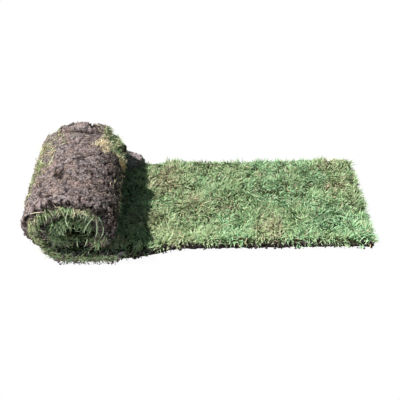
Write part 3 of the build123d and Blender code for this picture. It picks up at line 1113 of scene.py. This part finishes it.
def lump_piece(mat):
    """The torn lump of soil that lies behind the roll, on the strip's far edge. It is a ball drawn out along
    the strip and squared, slants down away from the roll, and is broken into chunks and crumbs."""
    size = sizes()
    rings, around = 40, 80
    climbs, turns = np.linspace(0.02, math.pi - 0.02, rings), np.arange(around) / around * TAU
    way = direction(*(grid.ravel() for grid in np.meshgrid(climbs, turns, indexing="ij")))
    middle = np.array([size.creep_start + 0.005, mat.half - 0.020, mat.soil + size.grass_height + 0.008])
    points = middle + np.sign(way) * np.abs(way) ** 0.75 * (0.058, 0.026, 0.034)
    points[:, 2] -= 0.30 * np.maximum(points[:, 0] - middle[0], 0)
    chunk, number = cells(points, 0.026, seed=511)
    crumb, _ = cells(points, 0.011, seed=512)
    relief = 0.022 * (number - 0.5) * smooth((0.62 - chunk) / 0.25) + 0.008 * (0.4 - chunk**2)
    fine = 0.005 * (0.4 - crumb**2) + 0.006 * (fractal(points, 0.009, 2, seed=513) - 0.5)
    points = within_limits(points + way * (relief + fine)[:, None])
    points[:, 2] = np.maximum(points[:, 2], mat.soil)
    piece = new_piece("lump", points, tube_quads(rings, around), [], soil_material())
    # Painted light: the lump is coloured near the pale end of the soil, to look sunlit where the roll's
    # shadow falls on it
    give_relief_and_painted_light(piece, 0.92 + fine / 0.014)
    close_holes(piece)


def node_tree(material):
    """A material's node tree, emptied but for its output and one plain shader."""
    material.use_nodes = True
    tree = material.node_tree
    tree.nodes.clear()
    shader = add(tree, "BsdfPrincipled")
    add(tree, "OutputMaterial", {"Surface": shader.outputs[0]})
    return tree, shader


def add(tree, kind, inputs=(), **settings):
    """A node of that kind. Its settings are set, and its inputs are linked or given their values."""
    node = tree.nodes.new("ShaderNode" + kind)
    for key, value in settings.items():
        setattr(node, key, value)
    for key, value in dict(inputs).items():
        feed(tree, node.inputs[key], value)
    return node


def feed(tree, socket, value):
    """Links a socket to another one, or sets its value. A colour may be given without its opacity."""
    if isinstance(value, bpy.types.NodeSocket):
        tree.links.new(value, socket)
    elif hasattr(value, "__len__"):
        socket.default_value = (*value[:3], 1) if socket.type == "RGBA" else value
    else:
        socket.default_value = value


def ramp(tree, factor, *stops):
    """A colour ramp through (position, colour) stops, where a grey may be given as one number."""
    node = add(tree, "ValToRGB", {"Fac": factor})
    elements = node.color_ramp.elements
    while len(elements) < len(stops):
        elements.new(0.5)
    for element, (position, shade) in zip(elements, stops):
        element.position = position
        element.color = (*shade, 1) if hasattr(shade, "__len__") else (shade, shade, shade, 1)
    return node.outputs["Color"]


def mix(tree, blend, factor, first, second):
    """Two colours blended."""
    node = add(tree, "Mix", data_type="RGBA", blend_type=blend)
    for number, value in zip(MIX_INPUTS, (factor, first, second)):
        feed(tree, node.inputs[number], value)
    return node.outputs[2]


def maths(tree, operation, *values):
    """The result of a calculation with one to three values."""
    return add(tree, "Math", dict(enumerate(values)), operation=operation).outputs[0]


def shaded(tint, share):
    """A colour made darker, to that share of itself."""
    return tuple(share * part for part in tint)


def material_named(name, build):
    """The material with that name, built once."""
    found = bpy.data.materials.get(name)
    if found is None:
        found = bpy.data.materials.new(name)
        build(found)
    return found


def soil_material():
    """Dry, crumbly soil: pale dusty clods, whose tops are partly painted highlight, painted shade dark in the
    pits and between the crumbs, with specks of grit and threads of root.
    """

    def build(material):
        tint = bpy.context.scene.turf_colours
        tree, shader = node_tree(material)
        place = add(tree, "TexCoord").outputs["Object"]
        relief = add(tree, "Attribute", attribute_name="relief").outputs["Fac"]
        patches = add(tree, "TexNoise", {"Vector": place, "Scale": 28, "Detail": 4, "Roughness": 0.6})
        grain = add(tree, "TexNoise", {"Vector": place, "Scale": 420, "Detail": 4, "Roughness": 0.7})
        crumbs = add(tree, "TexVoronoi", {"Vector": place, "Scale": 210, "Randomness": 1})
        shade = maths(tree, "ADD", maths(tree, "MULTIPLY_ADD", relief, 0.90, -0.15), grain.outputs["Fac"])
        base = ramp(
            tree,
            shade,
            (0.36, tint.soil_dark),
            (0.60, shaded(tint.soil, 0.50)),
            (0.80, tint.soil),
            (1.0, tint.soil_pale),
        )
        warm = ramp(tree, patches.outputs["Fac"], (0.35, (1.06, 0.95, 0.90)), (0.65, (0.92, 0.96, 1.02)))
        base = mix(tree, "MULTIPLY", 1.0, base, warm)
        # Painted shade: the soil is darkened in the gaps between the crumbs
        pits = ramp(tree, crumbs.outputs["Distance"], (0.20, 1.0), (0.45, 0.80), (0.66, 0.22))
        base = mix(tree, "MULTIPLY", 0.85, base, pits)
        rough = add(tree, "Bump", {"Height": crumbs.outputs["Distance"], "Strength": 0.8, "Distance": 0.0016})
        rough.invert = True
        fine = add(tree, "Bump", {"Height": grain.outputs["Fac"], "Strength": 0.7, "Distance": 0.0012})
        feed(tree, fine.inputs["Normal"], rough.outputs[0])
        feed(tree, shader.inputs["Normal"], fine.outputs[0])
        feed(tree, shader.inputs["Base Color"], base)
        feed(tree, shader.inputs["Roughness"], 0.95)
        feed(tree, shader.inputs["Specular IOR Level"], 0.15)

    return material_named("crumbly soil", build)


def thatch_material():
    """The brown and olive felt of dead stems, darkened as painted shade, that shows dark between the blades.
    """

    def build(material):
        tint = bpy.context.scene.turf_colours
        tree, shader = node_tree(material)
        place = add(tree, "TexCoord").outputs["Object"]
        stems = add(tree, "TexNoise", {"Vector": place, "Scale": 260, "Detail": 4, "Roughness": 0.7})
        drift = add(tree, "TexNoise", {"Vector": place, "Scale": 30, "Detail": 2})
        base = ramp(
            tree,
            stems.outputs["Fac"],
            (0.35, shaded(tint.thatch, 0.35)),
            (0.55, tint.thatch),
            (0.75, tint.dead_stem),
        )
        green = mix(tree, "MULTIPLY", 1.0, base, (0.75, 1.15, 0.8))
        base = mix(tree, "MIX", drift.outputs["Fac"], base, green)
        rough = add(tree, "Bump", {"Height": stems.outputs["Fac"], "Strength": 1.0, "Distance": 0.003})
        feed(tree, shader.inputs["Normal"], rough.outputs[0])
        feed(tree, shader.inputs["Base Color"], base)
        feed(tree, shader.inputs["Roughness"], 0.95)
        feed(tree, shader.inputs["Specular IOR Level"], 0.1)

    return material_named("thatch", build)


def blade_material():
    """One finish for every blade, straw and root. The UV map's first number picks the colour, from dead straw
    over olive to green and blue-green, and its second one the painted light, from painted shade at the dark
    roots to painted highlight at the pale tips."""

    def build(material):
        tint = bpy.context.scene.turf_colours
        tree, shader = node_tree(material)
        uv = add(tree, "UVMap", uv_map="OFBake").outputs[0]
        parts = add(tree, "SeparateXYZ", {"Vector": uv})
        kind, light = parts.outputs["X"], parts.outputs["Y"]
        base = ramp(
            tree,
            kind,
            (0.0, tint.straw),
            (0.14, shaded(tint.straw, 0.8)),
            (0.20, tint.tan),
            (0.24, tint.scorched),
            (0.29, tint.withered),
            (0.42, tint.olive),
            (0.70, tint.green),
            (1.0, tint.blue_green),
        )
        # Painted shade: blades are darkened where their painted light is low, towards their roots deep in the
        # sward
        painted_root_shade = ramp(tree, light, (0.0, 0.09), (0.3, 0.46), (0.55, 1.0), (1.0, 1.0))
        base = mix(tree, "MULTIPLY", 1.0, base, painted_root_shade)
        # Painted highlight: where the painted light is high, towards the tips, the colour is blended to the
        # pale tip colours
        tip = ramp(tree, light, (0.50, 0.0), (1.0, 0.70))
        pale = ramp(tree, kind, (0.15, tint.straw_tip), (0.27, tint.scorched_tip), (0.4, tint.fresh_tip))
        feed(tree, shader.inputs["Base Color"], mix(tree, "MIX", tip, base, pale))
        feed(tree, shader.inputs["Roughness"], 0.55)
        feed(tree, shader.inputs["Specular IOR Level"], 0.35)

    return material_named("grass blade", build)


class TURF_OT_soil(bpy.types.Operator):
    """Makes the layer of soil and roots, flat and rolled"""

    bl_idname = "turf.soil"
    bl_label = "Soil"

    def execute(self, context):
        mat = Mat()
        joint = mat.roll_start - JOINT
        inner = mat.at_turn(350)
        soil_piece("flat_soil", mat, 0.0, joint, step=0.0034, under=16, top=14, cut_ends=(1.0, 0.0))
        soil_piece("outer_turn", mat, joint, inner, step=0.0026, under=156, top=20, cut_ends=(0.0, 0.0))
        soil_piece("inner_turn", mat, inner, mat.length, step=0.0040, under=60, top=40, cut_ends=(0.0, 1.0))
        return {"FINISHED"}


class TURF_OT_thatch(bpy.types.Operator):
    """Makes the thatch on the flat run and between the turns"""

    bl_idname = "turf.thatch"
    bl_label = "Thatch"

    def execute(self, context):
        size = sizes()
        mat = Mat()
        joint = mat.roll_start - JOINT
        thins_out = mat.at_turn(576)

        def rolled_top(along, across):
            """Nearly all of the pressed grass, and half of it by the winding's end."""
            return mat.soil + size.pressed_grass * (0.98 - 0.5 * smooth((along - thins_out) / 0.05))

        low, high = THATCH_INSET, mat.length - THATCH_INSET
        thatch_piece("flat_thatch", mat, low, joint, step=0.006, inset=0.004, top=mat.thatch_top, columns=66)
        thatch_piece("rolled_thatch", mat, joint, high, step=0.007, inset=0.010, top=rolled_top, columns=34)
        return {"FINISHED"}


class TURF_OT_sward(bpy.types.Operator):
    """Grows the grass on the flat run, in four stretches"""

    bl_idname = "turf.sward"
    bl_label = "Sward"

    def execute(self, context):
        mat = Mat()
        marks = np.linspace(0.02, mat.flat_end - 0.001, 5)
        number = context.scene.turf_counts.blades
        for stretch, (x_from, x_to) in enumerate(zip(marks, marks[1:])):
            sward_piece(f"sward_{stretch + 1}", mat, x_from, x_to, number, seed=100 + stretch)
        return {"FINISHED"}


class TURF_OT_roll_ends(bpy.types.Operator):
    """Grows the grass that shows at both ends of the roll"""

    bl_idname = "turf.roll_ends"
    bl_label = "Roll Ends"

    def execute(self, context):
        mat = Mat()
        number = context.scene.turf_counts.end_blades
        end_blades("near_end_grass", mat, -1, number, seed=201)
        end_blades("far_end_grass", mat, 1, number // 5, seed=202)
        hanging_blades(mat)
        foot_blades(mat)
        return {"FINISHED"}


class TURF_OT_roots(bpy.types.Operator):
    """Lays roots and straws on the outside of the roll, and its tufts of grass"""

    bl_idname = "turf.roots"
    bl_label = "Roots and Tufts"

    def execute(self, context):
        mat = Mat()
        roots_piece(mat)
        tufts_piece(mat)
        return {"FINISHED"}


class TURF_OT_crumbs(bpy.types.Operator):
    """Scatters loose crumbs on the soil, in the roll's near end and along its foot"""

    bl_idname = "turf.crumbs"
    bl_label = "Crumbs"

    def execute(self, context):
        mat = Mat()
        random = np.random.default_rng(401)
        number = context.scene.turf_counts.crumbs
        edge_crumbs(mat, random, number)
        soil_crumbs(mat, random, number)
        heel_crumbs(mat, random, number * 2 // 3)
        fallen_crumbs(random, number * 2 // 9)
        lip_crumbs(mat, random, number)
        clinging_crumbs(mat, random, number * 2 // 3)
        return {"FINISHED"}


class TURF_OT_lump(bpy.types.Operator):
    """Makes the torn lump of soil behind the roll"""

    bl_idname = "turf.lump"
    bl_label = "Lump"

    def execute(self, context):
        lump_piece(Mat())
        return {"FINISHED"}


# The camera: where it stands, how it is turned, and its focal length as a share of the picture's width
CAMERA_PLACE = (0.353, -1.436, 1.366)
CAMERA_TURN = (math.radians(47), 0, -0.017)
FOCAL_SHARE = 573 / 400
SENSOR_WIDTH = 36

SUN_TURN = (math.radians(-1), math.radians(-31), 0)
SUN_STRENGTH = 4.5
SUN_WIDTH = math.radians(2.5)
SUN_COLOUR = (1.0, 0.98, 0.94)
SKY_COLOUR = (0.46, 0.84, 1.0)
SKY_STRENGTH = 0.10
FLOOR_REACH = 6
FLOOR_GREY = (0.86, 0.86, 0.86)
FLOOR_WHITE = 0.97  # how much of the floor is seen as plain white, and the rest by its light and shadow
WHITE = (1, 1, 1)


def seen_directly(tree):
    """1 for rays from the camera, from a gloss or through glass, and 0 for those that light the part."""
    rays = add(tree, "LightPath").outputs
    direct = maths(tree, "ADD", rays["Is Camera Ray"], rays["Is Glossy Ray"])
    return maths(tree, "ADD", direct, rays["Is Transmission Ray"])


def add_floor(scene):
    """A pale floor that is seen nearly white and keeps a trace of the part's shadow."""
    mesh = bpy.data.meshes.new("floor")
    corners = [(x * FLOOR_REACH, y * FLOOR_REACH, 0) for x, y in ((-1, -1), (1, -1), (1, 1), (-1, 1))]
    mesh.from_pydata(corners, [], [(0, 1, 2, 3)])
    floor = bpy.data.objects.new("floor", mesh)
    scene.collection.objects.link(floor)
    material = bpy.data.materials.new("pale floor")
    tree, shader = node_tree(material)
    feed(tree, shader.inputs["Base Color"], FLOOR_GREY)
    feed(tree, shader.inputs["Roughness"], 1)
    feed(tree, shader.inputs["Specular IOR Level"], 0)
    share = maths(tree, "MULTIPLY", seen_directly(tree), FLOOR_WHITE)
    white = add(tree, "Emission", {"Color": WHITE, "Strength": 1.0})
    both = add(tree, "MixShader", {0: share, 1: shader.outputs[0], 2: white.outputs[0]})
    output = next(node for node in tree.nodes if node.bl_idname == "ShaderNodeOutputMaterial")
    feed(tree, output.inputs["Surface"], both.outputs[0])
    mesh.materials.append(material)


def add_sky(scene):
    """A faint blue-green light from all round, behind which white is seen."""
    world = bpy.data.worlds.new("pale sky")
    world.use_nodes = True
    tree = world.node_tree
    tree.nodes.clear()
    fill = add(tree, "Background", {"Color": SKY_COLOUR, "Strength": SKY_STRENGTH})
    plain = add(tree, "Background", {"Color": WHITE, "Strength": 1.0})
    both = add(tree, "MixShader", {0: seen_directly(tree), 1: fill.outputs[0], 2: plain.outputs[0]})
    add(tree, "OutputWorld", {"Surface": both.outputs[0]})
    scene.world = world


def add_sun(scene):
    """The sun, which stands to the left and high."""
    lamp = bpy.data.lights.new("sun", "SUN")
    lamp.energy = SUN_STRENGTH
    lamp.angle = SUN_WIDTH
    lamp.color = SUN_COLOUR
    sun = bpy.data.objects.new("sun", lamp)
    sun.rotation_euler = SUN_TURN
    scene.collection.objects.link(sun)


def add_camera(scene):
    """The camera looks down on the strip from in front, at its fitted place and turn."""
    lens = bpy.data.cameras.new("camera")
    lens.sensor_width = SENSOR_WIDTH
    lens.lens = FOCAL_SHARE * SENSOR_WIDTH
    camera = bpy.data.objects.new("camera", lens)
    camera.location = CAMERA_PLACE
    camera.rotation_euler = CAMERA_TURN
    scene.collection.objects.link(camera)
    scene.camera = camera


class TURF_OT_stage(bpy.types.Operator):
    """Sets the floor, the lights and the camera"""

    bl_idname = "turf.stage"
    bl_label = "Stage"

    def execute(self, context):
        context.scene.view_settings.view_transform = "Standard"
        add_floor(context.scene)
        add_sky(context.scene)
        add_sun(context.scene)
        add_camera(context.scene)
        return {"FINISHED"}


OPERATORS = (
    TURF_OT_stage,
    TURF_OT_soil,
    TURF_OT_thatch,
    TURF_OT_sward,
    TURF_OT_roll_ends,
    TURF_OT_roots,
    TURF_OT_crumbs,
    TURF_OT_lump,
)
GROUPS = {
    "turf_sizes": TurfSizes,
    "turf_relief": TurfRelief,
    "turf_counts": TurfCounts,
    "turf_colours": TurfColours,
}


class TURF_PT_panel(bpy.types.Panel):
    """Lists the sizes, counts and colours, and the steps that make the turf"""

    bl_idname = "TURF_PT_panel"
    bl_label = "Turf"
    bl_space_type = "VIEW_3D"
    bl_region_type = "UI"
    bl_category = "Turf"

    def draw(self, context):
        for name in GROUPS:
            group = getattr(context.scene, name)
            box = self.layout.box()
            for key in group.__annotations__:
                box.prop(group, key)
        for operator in OPERATORS:
            self.layout.operator(operator.bl_idname)


CLASSES = (*GROUPS.values(), *OPERATORS, TURF_PT_panel)


def register():
    for kind in CLASSES:
        bpy.utils.register_class(kind)
    for name, group in GROUPS.items():
        setattr(bpy.types.Scene, name, PointerProperty(type=group))


def unregister():
    for name in GROUPS:
        delattr(bpy.types.Scene, name)
    for kind in reversed(CLASSES):
        bpy.utils.unregister_class(kind)


def main():
    register()
    bpy.ops.turf.stage()
    bpy.ops.turf.soil()
    bpy.ops.turf.thatch()
    bpy.ops.turf.sward()
    bpy.ops.turf.roll_ends()
    bpy.ops.turf.roots()
    bpy.ops.turf.crumbs()
    bpy.ops.turf.lump()


if __name__ == "__main__":
    main()
